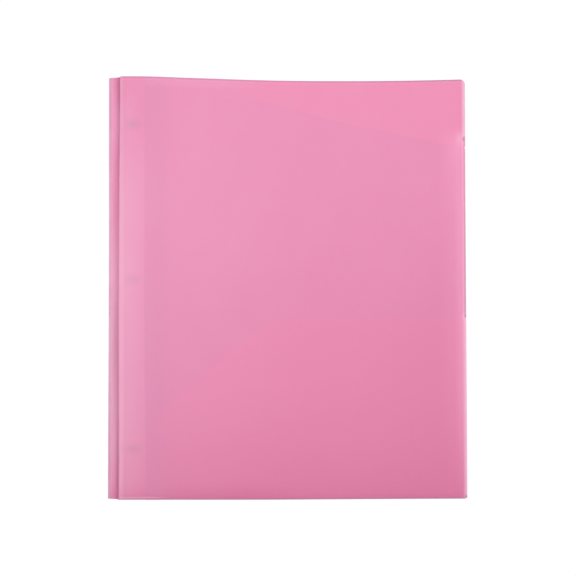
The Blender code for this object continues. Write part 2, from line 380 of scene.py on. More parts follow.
@dataclass(frozen=True)
class Fade:
    """Comes in between two values and, where two more are given, goes out between those."""

    start: float
    full: float
    fall: Optional[float] = None
    end: Optional[float] = None

    def of(self, measure: Signal) -> Signal:
        """Its strength along a measure, between 0 and 1."""
        shown = measure.ramp(self.start, self.full)
        return shown if self.fall is None else shown * measure.ramp(self.end, self.fall)


@dataclass(frozen=True)
class Line:
    """A stripe around a middle, gone at half its width to each side."""

    middle: float
    width: float

    def of(self, measure: Signal) -> Signal:
        """Its strength along a measure, between 0 and 1."""
        return abs(measure - self.middle).ramp(self.width / 2, 0.0)


@dataclass(frozen=True)
class Bell:
    """A soft spot around a middle, which falls off as a bell curve."""

    middle: float
    spread: float

    def of(self, measure: Signal) -> Signal:
        """Its strength along a measure, between 0 and 1."""
        share = (measure - self.middle) / self.spread
        return share.math("EXPONENT", -0.5 * (share * share))


Reach = Union[Fade, Line, Bell]


@dataclass(frozen=True)
class Measures:
    """Distances over a sheet at the point being shaded, and the shares that its marks ask for.

    u is measured from the crease and v from the bottom edge, edge inwards from the free edge, top down
    from the top edge or mouth, tall and low up from the pockets' edges, weld and fold up from where
    those edges meet the free edge, side from the pockets' sides, and rise up from a crease.
    """

    u: Signal
    v: Signal
    edge: Optional[Signal] = None
    top: Optional[Signal] = None
    tall: Optional[Signal] = None
    low: Optional[Signal] = None
    weld: Optional[Signal] = None
    fold: Optional[Signal] = None
    side: Optional[Signal] = None
    rise: Optional[Signal] = None
    shares: dict[Share, Signal] = field(default_factory=dict)


@dataclass(frozen=True)
class Mark:
    """A tint laid on a sheet: its weight, the shares that hold it and its reach along the measures.

    The gain is added to the weight where the mark swells, by a share or along v.
    """

    tint: Tint
    weight: float
    gain: float = 0.0
    swell: Union[Share, Fade, None] = None
    held: tuple[Share, ...] = ()
    u: Optional[Reach] = None
    v: Optional[Reach] = None
    edge: Optional[Reach] = None
    top: Optional[Reach] = None
    tall: Optional[Reach] = None
    low: Optional[Reach] = None
    weld: Optional[Reach] = None
    fold: Optional[Reach] = None
    side: Optional[Reach] = None
    rise: Optional[Reach] = None

    def strength(self, at: Measures) -> Value:
        """How strongly the mark shows.

        Args:
            at: The sheet's measures.

        Returns:
            The strength, between 0 and 1.
        """
        strength = self.weight
        if self.swell is not None:
            swell = self.swell.of(at.v) if isinstance(self.swell, Fade) else at.shares[self.swell]
            strength = self.weight + swell * self.gain
        for name, measure in vars(at).items():
            reach = getattr(self, name, None)
            strength = strength if reach is None else reach.of(measure) * strength
        for share in self.held:
            strength = at.shares[share] * strength
        return strength


# Sizes of the folder


@dataclass(frozen=True)
class FolderPlan:
    """Sizes that the folder's pieces share."""

    width: float
    height: float
    front_x: float
    back_x: float
    back_axis_z: float
    crease_z: float
    cover_sheet: float
    pocket_sheet: float
    layer_gap: float
    front_inset: float
    back_inset: float
    low_edge: float
    setback: float = 0.0008
    sweep_start: float = 0.058
    sweep_inset: float = 0.0028
    sweep_knee: float = 0.1344
    sweep_knee_drop: float = 0.0309
    sweep_end_drop: float = 0.0497
    weld_drop: float = 0.0472
    low_slant_start: float = 0.1043
    low_knee: float = 0.012
    edge_hollow: float = 0.0022
    sag_start: float = 0.012
    sag_end: float = 0.150
    edge_lift: float = 0.0012
    page_gap: float = 0.0005
    bottom_roll: float = 0.0004
    bottom_roll_reach: float = 0.009
    crease_lean: float = 0.0004
    crease_bow: float = 0.0008
    crease_reach: float = 0.040
    back_tuck: float = 0.00018
    back_tuck_ends: float = 0.6
    edge_rise: float = 0.0006
    edge_dip: float = 0.00056
    dip_start: float = 0.014
    dip_full: float = 0.050
    dip_fall: float = 0.080
    dip_end: float = 0.150
    foot_rise: float = 0.00022
    foot_drop: float = 0.00044
    foot_reach: float = 0.120
    edge_lean: float = 0.0008
    edge_pivot: float = 0.25

    @classmethod
    def measured(cls) -> "FolderPlan":
        """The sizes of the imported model.

        Returns:
            The plan.
        """
        joints = {joint["name"]: joint for joint in frame["joints"]}
        back_x, _, back_axis_z = joints["spine_hinge"]["pos_m"]
        front_x, _, crease_z = joints["cover_hinge"]["pos_m"]
        cover_low, cover_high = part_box("front_cover")
        back_low, back_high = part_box("back_cover")
        tall_low, tall_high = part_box("back_tall_pocket")
        return cls(
            width=cover_high.x - front_x,
            height=cover_high.y - cover_low.y,
            front_x=front_x,
            back_x=back_x,
            back_axis_z=back_axis_z,
            crease_z=crease_z,
            cover_sheet=back_high.z - back_low.z,
            pocket_sheet=tall_high.z - tall_low.z,
            layer_gap=tall_low.z - back_high.z,
            front_inset=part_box("front_tall_pocket")[0].x - front_x,
            back_inset=tall_low.x - back_x,
            low_edge=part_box("front_low_pocket")[1].y - cover_low.y,
        )

    @property
    def tall_drop(self) -> float:
        """From the middle of a cover to the middle of its tall pocket."""
        return self.cover_sheet / 2 + self.layer_gap + self.pocket_sheet / 2

    @property
    def low_drop(self) -> float:
        """From the middle of a cover to the middle of its low pocket."""
        return self.tall_drop + self.pocket_sheet + self.layer_gap

    @property
    def tall_edge(self) -> float:
        """Height v up to which a tall pocket is welded along the free edge."""
        return self.height - self.weld_drop

    def fall(self, drop: float) -> float:
        """How far the front cover falls from its crease, onto pockets a drop inside each cover."""
        return self.crease_z - self.cover_sheet / 2 - 2 * drop - self.pocket_sheet - self.page_gap

    def past(self, u: Value) -> Value:
        """0 up to where the cover lies lowest, and 1 at the free edge."""
        return at_least(u - self.sag_end, 0.0) / (self.width - self.sag_end)

    def sag(self, u: Value) -> Value:
        """0 beside the crease, 1 where the cover lies lowest, and a little less at the free edge."""
        lift = self.edge_lift / self.fall(self.tall_drop) * self.past(u) ** 2
        return wave(u, self.sag_start, self.sag_end) - lift

    def top_edge(self, u: Value) -> Value:
        """Height v of a cover's slightly hollow top edge, which dips a little early.

        Args:
            u: Distance from the crease, as a number or as a signal.

        Returns:
            The height, of the same kind.
        """
        dip = wave(u, self.dip_start, self.dip_full) * (1 - wave(u, self.dip_fall, self.dip_end))
        hollow = self.edge_hollow * self.sag(u) + self.edge_dip * dip
        return self.height - hollow + self.edge_rise * self.past(u) ** 2

    def bottom_edge(self, side: Side, u: float) -> float:
        """Height v of a cover's bottom edge, which lies a little out of square in front."""
        skew = self.foot_rise - self.foot_drop * wave(u, 0.0, self.foot_reach)
        return skew if side is Side.FRONT else 0.0

    def tall_top(self, u: Value) -> Value:
        """Height v of a tall pocket's top edge: level near the spine, then swept down.

        Args:
            u: Distance from the crease, as a number or as a signal.

        Returns:
            The height, of the same kind.
        """
        level = self.top_edge(self.sweep_start) - self.sweep_inset
        knee = self.height - self.sweep_knee_drop
        bow = self.width - 2 * self.sweep_knee + self.sweep_start
        run = self.sweep_knee - self.sweep_start
        swept = at_least(u, self.sweep_start) - self.sweep_start
        share = ((run**2 + bow * swept) ** 0.5 - run) / bow
        rest = 1 - share
        end = self.height - self.sweep_end_drop
        return rest * rest * level + 2 * share * rest * knee + share * share * end

    def low_top(self, u: Value, rise: float) -> Value:
        """Height v of a low pocket's top edge: slanted by a rise near the spine and level beyond."""
        slant = self.low_edge - rise * (self.low_slant_start - u)
        return smooth_least(slant, self.low_edge, self.low_knee)

    def front_height(self, u: float, v: float) -> float:
        """Height of the closed front cover's middle surface.

        Args:
            u: Distance from the crease.
            v: Distance from the bottom edge.

        Returns:
            The height above the table.
        """
        share = wave(v, self.low_edge, self.height)
        at_bottom = self.fall(self.low_drop) * wave(u, self.sag_start, self.width)
        at_top = self.fall(self.tall_drop) * self.sag(u)
        roll = self.bottom_roll * max(1 - v / self.bottom_roll_reach, 0.0) ** 2
        return self.crease_z - at_bottom - (at_top - at_bottom) * share - roll

    def crease_shift(self, v: float) -> float:
        """How far the front crease wanders towards the spine's side at a height v."""
        bow = self.crease_bow * math.sin(math.pi * v / self.height) ** 2
        return -self.crease_lean * (1 - wave(v, self.low_edge, self.height)) - bow

    def back_shift(self, v: float) -> float:
        """How far the back crease is drawn in from the spine's side at a height v."""
        return self.back_tuck * (self.back_tuck_ends + math.sin(math.pi * v / self.height) ** 2)

    def edge_shift(self, v: Value) -> Value:
        """How far the front free edge stands out of square at a height v."""
        return self.edge_lean * (self.edge_pivot - v / self.height)

    def front_x_at(self, u: float, v: float) -> float:
        """The place along X of a point of the front cover."""
        near = max(1 - u / self.crease_reach, 0.0)
        return self.front_x + u + self.crease_shift(v) * near + self.edge_shift(v) * (u / self.width) ** 4

    def on_cover(self, side: Side, drop: float) -> Place:
        """Places (u, v) on the inner side of a cover.

        Args:
            side: Which cover.
            drop: How far from the cover's middle surface.

        Returns:
            A function of u, v and a rise, which gives the point.
        """
        def on_front(u: float, v: float, rise: float) -> Vector:
            """The point at (u, v) under the front cover, lifted by a rise."""
            return Vector((self.front_x_at(u, v), v - self.height / 2, self.front_height(u, v) - drop + rise))

        def on_back(u: float, v: float, rise: float) -> Vector:
            """The point at (u, v) over the back cover, lifted by a rise."""
            return Vector((self.back_x + u, v - self.height / 2, self.cover_sheet / 2 + drop + rise))

        return on_front if side is Side.FRONT else on_back

    def crease_x(self, side: Side) -> float:
        """Where a cover's crease lies along X."""
        return self.front_x if side is Side.FRONT else self.back_x

    def along(self, graph: ShaderGraph, origin: float) -> tuple[Signal, Signal]:
        """The point being shaded, as its distances u from an origin along X and v from the bottom edge."""
        x, y, _ = graph.axes(graph.place)
        return x - origin, y + self.height / 2


# Modelling steps


class Bench:
    """The modelling steps that the pieces share."""

    SAME = 1e-6
    NEAR = 1e-5
    FOLD_SEGMENTS = 3
    RIM_SEGMENTS = 2
    RIM_ANGLE = math.radians(50)
    SMOOTH_ANGLE = math.radians(40)

    @classmethod
    def stations(cls, low: float, high: float, step: float, *extra: float) -> list[float]:
        """Values from low to high.

        Args:
            low: The first value.
            high: The last value.
            step: The most that two neighbours may differ by.
            extra: More values to put between them.

        Returns:
            The values in order.
        """
        count = math.ceil((high - low) / step)
        values = sorted([*extra, *(low + (high - low) * index / count for index in range(count + 1))])
        return values[:1] + [after for before, after in zip(values, values[1:]) if after - before > cls.SAME]

    @staticmethod
    def grid(name: str, columns: Sequence[float], rows: Sequence[float], place: Place) -> bpy.types.Object:
        """A grid primitive whose lines are laid at given stations.

        Args:
            name: The piece's name.
            columns: Stations along the first direction.
            rows: Stations along the second direction.
            place: Where a pair of stations goes.

        Returns:
            The piece.
        """
        bpy.ops.object.select_all(action="DESELECT")
        cells = (len(columns) - 1, len(rows) - 1)
        bpy.ops.mesh.primitive_grid_add(x_subdivisions=cells[0], y_subdivisions=cells[1], size=1.0)
        piece = bpy.context.object
        piece.name = name
        piece.data.name = name
        for vertex in piece.data.vertices:
            column = columns[round((vertex.co.x + 0.5) * cells[0])]
            row = rows[round((vertex.co.y + 0.5) * cells[1])]
            vertex.co = place(column, row, 0.0)
        return piece

    @staticmethod
    def select(piece: bpy.types.Object, kind: Element, test: Test) -> None:
        """Selects vertices or edges in edit mode, by their middle.

        Args:
            piece: The active piece, in edit mode.
            kind: What is selected.
            test: Whether a middle is chosen.
        """
        bpy.ops.mesh.select_mode(type=kind.value)
        bpy.ops.mesh.select_all(action="DESELECT")
        bpy.ops.object.mode_set(mode="OBJECT")
        mesh = piece.data
        if kind is Element.VERTEX:
            for vertex in mesh.vertices:
                vertex.select = test(vertex.co)
        else:
            for edge in mesh.edges:
                first, second = (mesh.vertices[index].co for index in edge.vertices)
                edge.select = test((first + second) / 2)
        bpy.ops.object.mode_set(mode="EDIT")

    @classmethod
    def round_corner(cls, piece: bpy.types.Object, corner: Vector, size: float, segments: int) -> None:
        """Rounds or clips one corner of a flat sheet.

        Args:
            piece: The flat sheet.
            corner: Where the corner is.
            size: The radius, or the length that a single cut takes off.
            segments: 1 for a straight cut, more for a round.
        """
        nearest = min(piece.data.vertices, key=lambda vertex: (vertex.co - corner).length).co.copy()
        bpy.ops.object.mode_set(mode="EDIT")
        cls.select(piece, Element.VERTEX, lambda spot: (spot - nearest).length < cls.SAME)
        bpy.ops.mesh.bevel(affect="VERTICES", offset=size, segments=segments)
        bpy.ops.object.mode_set(mode="OBJECT")

    @classmethod
    def turn_hem(cls, piece: bpy.types.Object, test: Test, rise: float, radius: float) -> None:
        """Turns up part of a flat sheet's rim and rounds the fold.

        Args:
            piece: The flat sheet.
            test: Whether the middle of an edge lies on the part to turn.
            rise: How far the hem is drawn out, with its sign.
            radius: The fold's radius.
        """
        bpy.ops.object.mode_set(mode="EDIT")
        cls.select(piece, Element.EDGE, test)
        bpy.ops.mesh.extrude_region_move(TRANSFORM_OT_translate={"value": (0.0, 0.0, rise)})
        cls.select(piece, Element.EDGE, lambda middle: test(middle) and abs(middle.z) < cls.NEAR)
        bpy.ops.mesh.bevel(affect="EDGES", offset=radius, segments=cls.FOLD_SEGMENTS)
        bpy.ops.mesh.select_all(action="SELECT")
        bpy.ops.mesh.normals_make_consistent(inside=False)
        bpy.ops.object.mode_set(mode="OBJECT")

    @staticmethod
    def lay(piece: bpy.types.Object, place: Place) -> None:
        """Moves a flat sheet from (u, v) to where it lies."""
        for vertex in piece.data.vertices:
            vertex.co = place(*vertex.co)

    @staticmethod
    def apply(piece: bpy.types.Object, name: str, kind: str, **settings: object) -> None:
        """Adds a modifier and applies it.

        Args:
            piece: The piece.
            name: The modifier's name.
            kind: The modifier's type.
            settings: The modifier's settings.
        """
        modifier = piece.modifiers.new(name, kind)
        for key, value in settings.items():
            setattr(modifier, key, value)
        bpy.context.view_layer.objects.active = piece
        bpy.ops.object.modifier_apply(modifier=name)

    @classmethod
    def solidify(cls, piece: bpy.types.Object, thickness: float) -> None:
        """Gives a surface its thickness, half to each side."""
        cls.apply(piece, "thickness", "SOLIDIFY", thickness=thickness, offset=0.0, use_even_offset=True)

    @classmethod
    def soften(cls, piece: bpy.types.Object, rim: float, angle: float = RIM_ANGLE) -> None:
        """Bevels the edges that turn by more than an angle."""
        settings = {"segments": cls.RIM_SEGMENTS, "limit_method": "ANGLE", "angle_limit": angle}
        cls.apply(piece, "rims", "BEVEL", width=rim, **settings)

    @classmethod
    def thicken(cls, piece: bpy.types.Object, thickness: float, rim: float) -> bpy.types.Object:
        """Gives a surface its thickness and softens its rims.

        Args:
            piece: The surface.
            thickness: The sheet's thickness.
            rim: The width of the bevel along its rims.

        Returns:
            The same piece.
        """
        cls.solidify(piece, thickness)
        cls.soften(piece, rim)
        return piece

    @classmethod
    def finish(cls, piece: bpy.types.Object, material: bpy.types.Material, slot: Slot, node: str) -> None:
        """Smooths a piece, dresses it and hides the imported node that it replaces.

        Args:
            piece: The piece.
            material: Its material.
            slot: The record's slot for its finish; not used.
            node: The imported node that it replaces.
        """
        bpy.ops.object.select_all(action="DESELECT")
        piece.select_set(True)
        bpy.context.view_layer.objects.active = piece
        bpy.ops.object.shade_smooth_by_angle(angle=cls.SMOOTH_ANGLE)
        piece.data.materials.clear()
        piece.data.materials.append(material)
        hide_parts(node)
        LOG.info("%s: %d faces", piece.name, len(piece.data.polygons))


# Finishes


@dataclass(frozen=True)
class SheetFinish:
    """Translucent polypropylene sheet with a fine matte grain."""

    deep: Colour = (0.706, 0.202, 0.387)
    clear: Colour = (0.716, 0.210, 0.395)
    cloud: float = 0.045
    cloud_detail: float = 3.0
    cloud_range: Fade = Fade(0.25, 0.75)
    speck: float = 0.0016
    speck_tone: float = 0.016
    roughness: float = 0.44
    grain: float = 0.00035
    grain_depth: float = 0.000012
    grain_gloss: float = 0.10
    scuff: float = 0.012
    scuff_detail: float = 4.0
    scuff_stretch: Point = (1.0, 0.22, 1.0)
    scuff_gloss: float = 0.08
    refraction: float = 1.49
    spread: float = 0.25
    spread_reach: float = 0.0008
    spread_tint: Colour = (0.9, 0.35, 0.55)

    def build(self, name: str, marks: Sequence[Mark], measure: Measure) -> bpy.types.Material:
        """Makes one sheet's material: faint clouds and specks from the extruder, its marks and its grain.

        Args:
            name: The material's name.
            marks: What is laid on the sheet's own colour, the lowest first.
            measure: Gives the sheet's measures.

        Returns:
            The material.
        """
        graph = ShaderGraph.material(name)
        at = measure(graph)
        clouds = self.cloud_range.of(graph.noise(self.cloud, self.cloud_detail))
        colour = graph.mix(clouds, self.deep, self.clear)
        for mark in marks:
            colour = graph.mix(mark.strength(at), colour, mark.tint.value)
        tone = 1 + (graph.noise(self.speck) - 0.5) * self.speck_tone
        grain = graph.noise(self.grain)
        scuffs = graph.noise(self.scuff, self.scuff_detail, self.scuff_stretch)
        gloss = (grain - 0.5) * self.grain_gloss + (scuffs - 0.5) * self.scuff_gloss
        scaled = {0: colour, "Scale": tone}
        return graph.principled({
            "Base Color": graph.node("ShaderNodeVectorMath", {"operation": "SCALE"}, scaled),
            "Roughness": self.roughness + gloss,
            "Normal": graph.bump(grain, self.grain_depth),
            "IOR": self.refraction,
            "Subsurface Weight": self.spread,
            "Subsurface Radius": self.spread_tint,
            "Subsurface Scale": self.spread_reach,
        })


@dataclass(frozen=True)
class SteelFinish:
    """Tinned steel strip, rolled along its length and a little dulled."""

    name: str = "tinned steel"
    bright: Colour = (0.70, 0.70, 0.71)
    dull: Colour = (0.50, 0.50, 0.52)
    detail: float = 3.0
    grain: float = 0.0006
    grain_stretch: Point = (6.0, 0.25, 1.0)
    grain_depth: float = 0.000015
    bloom: float = 0.006
    bloom_range: Fade = Fade(0.42, 0.72)
    bloom_share: float = 0.7
    spangles_per_metre: float = 700.0
    spangle_share: float = 0.15
    roughness: float = 0.22
    grain_gloss: float = 0.18
    dull_gloss: float = 0.14

    def build(self) -> bpy.types.Material:
        """Makes the material.

        Returns:
            The material.
        """
        graph = ShaderGraph.material(self.name)
        rolled = graph.noise(self.grain, self.detail, self.grain_stretch)
        blooms = self.bloom_range.of(graph.noise(self.bloom, self.detail))
        cells = {"Vector": graph.place, "Scale": self.spangles_per_metre}
        spangle, _, _ = graph.axes(graph.node("ShaderNodeTexVoronoi", {"feature": "F1"}, cells, "Color"))
        dulled = blooms * self.bloom_share + spangle * self.spangle_share
        return graph.principled({
            "Base Color": graph.mix(dulled, self.bright, self.dull),
            "Metallic": 1.0,
            "Roughness": self.roughness + rolled * self.grain_gloss + dulled * self.dull_gloss,
            "Normal": graph.bump(rolled, self.grain_depth),
        })


# Covers and pockets


@dataclass(frozen=True)
class CoverMarks:
    """What shows on the outside of a cover: pocket edges, the fasteners' painted shadows, painted shade
    towards its foot, and its worked edges with painted glow, glints and shade along them.
    """

    plan: FolderPlan
    side: Side
    side_u: float = 0.0170
    side_lean: float = 0.0014
    side_lean_v: Fade = Fade(0.14, 0.0)
    side_blur: Fade = Fade(-0.0006, 0.0006)
    low_rise: float = 0.840
    gutter_hidden: float = 0.6
    handled: Fade = Fade(-0.06, 0.05, 0.19, 0.285)
    run_start: Fade = Fade(0.0, 0.001)
    run_end: Fade = Fade(0.007, 0.006)
    # Dark spots painted as the fasteners' shadows seen through the cover
    spot_u: float = 0.0094
    spot_vs: tuple[float, float, float] = (0.2604, 0.1528, 0.0352)
    spot_weights: tuple[float, float, float] = (0.34, 0.21, 0.27)
    spot_width: float = 0.0037
    spot_height: float = 0.0024
    under: tuple[Mark, ...] = (
        # The sheets behind the cover, open above the pockets, then painted shade towards the bottom edge and
        # the lower right, lifted again in a patch near the bottom
        Mark(Tint.OPEN, 1.0, tall=Fade(-0.0006, 0.0006), u=Fade(0.070, 0.098)),
        Mark(Tint.LOW, 1.0, held=(Share.POCKETS,), low=Fade(0.0008, -0.0008)),
        Mark(Tint.FOOT, 0.18, u=Fade(0.14, 0.22), v=Fade(0.19, 0.10)),
        Mark(Tint.FOOT, 0.62, u=Fade(0.14, 0.08), v=Fade(0.013, 0.003)),
        Mark(Tint.FOOT, 0.50, v=Fade(0.085, -0.010)),
        Mark(Tint.LOW, 0.36, u=Bell(0.165, 0.042), v=Bell(0.036, 0.017)),
        # A darker band along the pockets' sides, and the line of the tall pocket's swept edge
        Mark(Tint.BAND, 0.30, 0.14, Fade(0.16, 0.03), (Share.POCKETS,), side=Fade(0.0255, 0.0075)),
        Mark(Tint.BAND, 0.24, tall=Line(0.0, 0.0022), u=Fade(0.085, 0.125)),
        # The bowed side beside the crease
        Mark(Tint.PALE, 0.05, 0.11, Share.MIDDLE, u=Fade(0.150, 0.010)),
        Mark(Tint.WHITE, 0.22, held=(Share.MIDDLE, Share.GUTTER), u=Fade(0.030, 0.0)),
        Mark(Tint.WHITE, 0.08, u=Fade(0.016, 0.005), v=Bell(0.268, 0.012)),
        Mark(Tint.WHITE, 0.06, u=Fade(0.016, 0.005), v=Bell(0.158, 0.010)),
    )
    over: tuple[Mark, ...] = (
        # The crease, whitened by stress and with a painted highlight along it
        Mark(Tint.WHITE, 0.20, 0.10, Share.MIDDLE, u=Fade(0.0040, 0.0010)),
        # The cut top and bottom edges: a painted glow and a painted glint just inside them, and a thin dark
        # line along each that is partly painted shade
        Mark(Tint.GLOW, 0.10, top=Line(0.0020, 0.0018)),
        Mark(Tint.COOL, 0.10, held=(Share.POCKETS,), top=Fade(0.0075, 0.0045), u=Fade(0.10, 0.07)),
        Mark(Tint.CUT, 0.40, 0.50, Share.ACROSS, top=Fade(0.0014, 0.0004)),
        Mark(Tint.WHITE, 0.35, v=Line(0.0017, 0.0014), u=Fade(0.034, 0.024)),
        Mark(Tint.CUT, 0.70, v=Fade(0.0012, 0.0003)),
        # The free edge's glow
        Mark(Tint.GLOW, 0.24, edge=Fade(0.0095, 0.0022), v=Fade(-0.03, 0.08, 0.200, 0.262)),
        Mark(
            Tint.GLOW, 0.065, 0.07, Fade(0.19, 0.235),
            edge=Fade(0.021, 0.009), v=Fade(-0.02, 0.09, 0.244, 0.262),
        ),
        Mark(Tint.WHITE, 0.06, edge=Fade(0.0065, 0.0015), v=Fade(-0.01, 0.10, 0.122, 0.128)),
        # The free edge's rim, where it is welded, folded and open: along the welded run a painted glow with a
        # dark line of painted shade on the pocket's edge outside it, elsewhere a pale rim, and near the top a
        # dark rim that is partly painted shade
        Mark(Tint.GLOW, 0.50, held=(Share.RUN,), edge=Line(0.0019, 0.0024)),
        Mark(Tint.RIM, 0.33, 0.57, Fade(0.24, 0.16), (Share.RUN,), edge=Fade(0.0018, 0.0009)),
        Mark(Tint.WHITE, 0.80, held=(Share.REST,), edge=Fade(0.0034, 0.0)),
        Mark(Tint.RIM, 0.40, held=(Share.REST,), edge=Fade(0.0011, 0.0003), v=Fade(0.22, 0.25)),
        # A painted glow below where the weld ends, stress whitening where the weld and the fold end, and dots
        # of painted shade in nicks there and at the bottom corner
        Mark(Tint.GLOW, 0.12, edge=Bell(0.0045, 0.0040), weld=Bell(-0.0040, 0.0050)),
        Mark(Tint.WHITE, 0.30, edge=Bell(0.0030, 0.0026), weld=Bell(0.0047, 0.0032)),
        Mark(Tint.WHITE, 0.50, edge=Bell(0.0014, 0.0010), fold=Bell(0.0018, 0.0015)),
        Mark(Tint.NICK, 0.75, edge=Bell(0.0013, 0.0006), weld=Bell(0.0042, 0.0008)),
        Mark(Tint.NICK, 0.75, edge=Bell(0.0006, 0.0006), fold=Bell(0.0023, 0.0008)),
        Mark(Tint.NICK, 0.75, edge=Bell(0.0005, 0.0006), v=Bell(0.0012, 0.0008)),
    )

    @property
    def marks(self) -> list[Mark]:
        """All the marks, with dark spots painted as the fasteners' shadows seen through the cover.

        Returns:
            The marks, the lowest first.
        """
        across = Bell(self.spot_u, self.spot_width)
        spots = [
            Mark(Tint.PRESSED, weight, u=across, v=Bell(v, self.spot_height))
            for v, weight in zip(self.spot_vs, self.spot_weights)
        ]
        return [*self.under, *spots, *self.over]

    def measure(self, graph: ShaderGraph) -> Measures:
        """The cover's measures.

        Args:
            graph: The material's graph.

        Returns:
            The measures.
        """
        plan = self.plan
        u, v = plan.along(graph, plan.crease_x(self.side))
        weld, fold, side = v - plan.tall_edge, v - plan.low_edge, u - self.side_u
        behind = self.side_blur.of(side - self.side_lean * self.side_lean_v.of(v))
        run = self.run_start.of(fold) * self.run_end.of(weld)
        return Measures(
            u,
            v,
            edge=plan.width + (plan.edge_shift(v) if self.side is Side.FRONT else 0.0) - u,
            top=plan.top_edge(u) - v,
            tall=v - plan.tall_top(u),
            low=v - plan.low_top(u, self.low_rise),
            weld=weld,
            fold=fold,
            side=side,
            shares={
                Share.POCKETS: behind,
                Share.GUTTER: 1 - behind * self.gutter_hidden,
                Share.MIDDLE: self.handled.of(v),
                Share.RUN: run,
                Share.REST: 1 - run,
                Share.ACROSS: u / plan.width,
            },
        )


@dataclass
class Panel:
    """One cover with its tall and low pockets."""

    plan: FolderPlan
    side: Side
    cover_finish: SheetFinish
    tall_finish: SheetFinish
    low_finish: SheetFinish
    corner_radius: float = 0.0035
    corner_segments: int = 10
    corner_clip: float = 0.0012
    low_slant_height: float = 0.0524
    low_corner_radius: float = 0.002
    low_corner_segments: int = 5
    step: float = 0.0042
    low_recess: float = 0.0002
    tall_recess: float = 0.0004
    recess_blur: float = 0.0004
    jog_blur: float = 0.0005
    fold_radius: float = 0.00022
    hem_break: float = 0.001
    rim: float = 0.00009
    hem_blur: Fade = Fade(0.0002, -0.0002)
    pocket_marks: tuple[Mark, ...] = (
        # Painted highlights where the edges catch light: along the cut mouth, the cut side and the outer
        # edge, folded below and cut above
        Mark(Tint.PALE, 0.45, top=Fade(0.0030, 0.0004)),
        Mark(Tint.PALE, 0.35, side=Fade(0.0030, 0.0004)),
        Mark(Tint.WHITE, 0.60, 0.25, Share.HEM, edge=Fade(0.0012, 0.0005)),
    )

    @property
    def inset(self) -> float:
        """Where the pockets start beside the spine."""
        return self.plan.front_inset if self.side is Side.FRONT else self.plan.back_inset

    @property
    def hem_inset(self) -> float:
        """How far the tall pocket keeps inside the low pocket's hem."""
        return self.plan.pocket_sheet + self.plan.layer_gap

    @property
    def low_rise(self) -> float:
        """Slope of the low pocket's slanted edge."""
        return (self.plan.low_edge - self.low_slant_height) / (self.plan.low_slant_start - self.inset)

    def free_edge(self, v: float) -> float:
        """Distance u of the cover's free edge, drawn back where a pocket's edge shows beside it."""
        above_low = self.tall_recess if v < self.plan.tall_edge else 0.0
        return self.plan.width - (self.low_recess if v < self.plan.low_edge else above_low)

    def cover(self) -> bpy.types.Object:
        """Models the cover: hollow top edge, round top corner, clipped bottom corner.

        Returns:
            The cover.
        """
        plan = self.plan
        columns = Bench.stations(plan.setback, plan.width, self.step)
        blur = (-self.recess_blur, self.recess_blur)
        recesses = [edge + shift for edge in (plan.low_edge, plan.tall_edge) for shift in blur]
        rows = Bench.stations(0.0, plan.height, self.step, *recesses)

        def flat(u: float, v: float, rise: float) -> Vector:
            """A point of the flat sheet.

            Args:
                u: Distance from the crease.
                v: Distance from the bottom edge of a square sheet.
                rise: Height over the sheet.

            Returns:
                The point.
            """
            outer = self.free_edge(v) if u == columns[-1] else u
            low = plan.bottom_edge(self.side, u)
            return Vector((outer, low + v * (plan.top_edge(u) - low) / plan.height, rise))

        piece = Bench.grid(f"{self.side.word}_cover_sheet", columns, rows, flat)
        corner = Vector((plan.width, plan.top_edge(plan.width), 0))
        Bench.round_corner(piece, corner, self.corner_radius, self.corner_segments)
        Bench.round_corner(piece, Vector((plan.width, 0, 0)), self.corner_clip, 1)
        Bench.lay(piece, plan.on_cover(self.side, 0.0))
        return Bench.thicken(piece, plan.cover_sheet, self.rim)

    def tall_pocket(self) -> bpy.types.Object:
        """Models the tall pocket, whose swept top edge runs from the top edge to the free edge.

        Returns:
            The pocket.
        """
        plan = self.plan
        columns = Bench.stations(self.inset, plan.width, self.step, plan.sweep_start)
        low, high = self.hem_inset, plan.tall_top(plan.width)
        jog = (plan.low_edge + plan.layer_gap - low) / (high - low)
        rows = Bench.stations(0.0, 1.0, self.step / plan.height, jog - self.jog_blur, jog + self.jog_blur)

        def flat(u: float, share: float, rise: float) -> Vector:
            """A point of the flat sheet."""
            inside = u == columns[-1] and share < jog
            return Vector((u - self.hem_inset if inside else u, low + (plan.tall_top(u) - low) * share, rise))

        piece = Bench.grid(f"{self.side.word}_tall_pocket_sheet", columns, rows, flat)
        Bench.lay(piece, plan.on_cover(self.side, plan.tall_drop))
        return Bench.thicken(piece, plan.pocket_sheet, self.rim)

    def low_pocket(self) -> bpy.types.Object:
        """Models the low pocket, with its outer and bottom edges turned towards the cover.

        Returns:
            The pocket.
        """
        plan = self.plan
        outer = plan.width - plan.pocket_sheet / 2
        low = plan.pocket_sheet / 2
        columns = Bench.stations(self.inset, outer, self.step)
        rows = Bench.stations(0.0, 1.0, self.step / plan.low_edge)

        def flat(u: float, share: float, rise: float) -> Vector:
            """A point of the flat sheet."""
            return Vector((u, low + (plan.low_top(u, self.low_rise) - low) * share, rise))

        def at_side(middle: Vector) -> bool:
            """Whether the middle of an edge lies on the outer rim."""
            return abs(middle.x - outer) < Bench.NEAR

        def at_bottom(middle: Vector) -> bool:
            """Whether the middle of an edge lies on the bottom rim, clear of the outer hem."""
            return abs(middle.y - low) < Bench.NEAR and middle.x < outer - self.hem_break

        piece = Bench.grid(f"{self.side.word}_low_pocket_sheet", columns, rows, flat)
        corner = flat(self.inset, 1.0, 0.0)
        Bench.round_corner(piece, corner, self.low_corner_radius, self.low_corner_segments)
        rise = -self.side.value * (plan.low_drop - plan.cover_sheet / 2 - plan.layer_gap)
        for rim in (at_side, at_bottom):
            Bench.turn_hem(piece, rim, rise, self.fold_radius)
        Bench.lay(piece, plan.on_cover(self.side, plan.low_drop))
        return Bench.thicken(piece, plan.pocket_sheet, self.rim)

